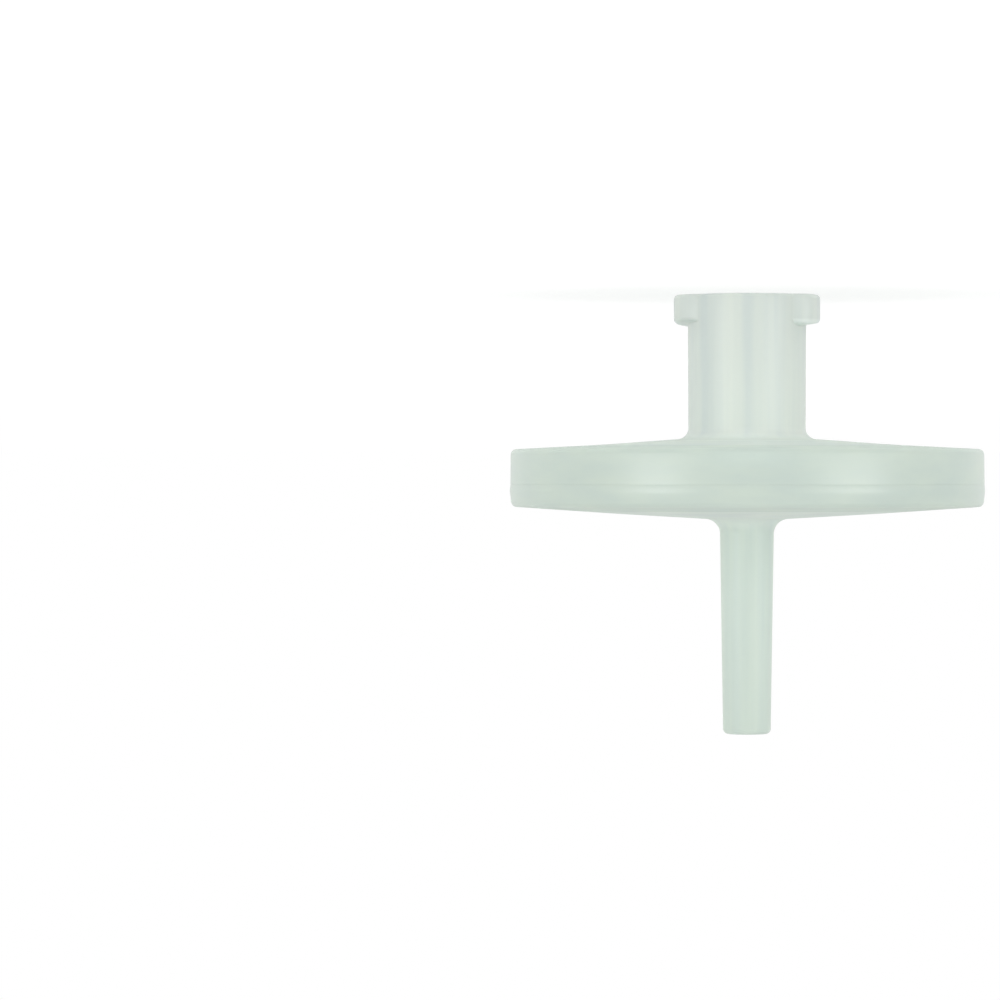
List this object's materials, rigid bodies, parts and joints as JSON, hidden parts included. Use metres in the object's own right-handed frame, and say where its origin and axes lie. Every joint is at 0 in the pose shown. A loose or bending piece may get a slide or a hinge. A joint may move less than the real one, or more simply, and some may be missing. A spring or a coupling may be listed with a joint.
{
  "type": "syringe filter",
  "caption": "Disc syringe filter with a lugged female luer-lock inlet hub, a welded two-part housing round a membrane, and a slim tapered outlet nozzle.",
  "frame": {"origin": "centre of the inlet hub's flat end face, on the surface that the part stands on", "axes": "+Z along the flow, from the inlet hub to the outlet nozzle's tip; +X through the middle of one luer lug"},
  "size_m": [0.0254, 0.0254, 0.0235],
  "materials": {
    "polypropylene": "natural polypropylene, milky and translucent, with a soft satin gloss",
    "membrane": "matt white microporous membrane"
  },
  "bodies": {
    "root": {"inlet_housing": "polypropylene", "filter_membrane": "membrane", "outlet_housing": "polypropylene"}
  },
  "joints": []
}
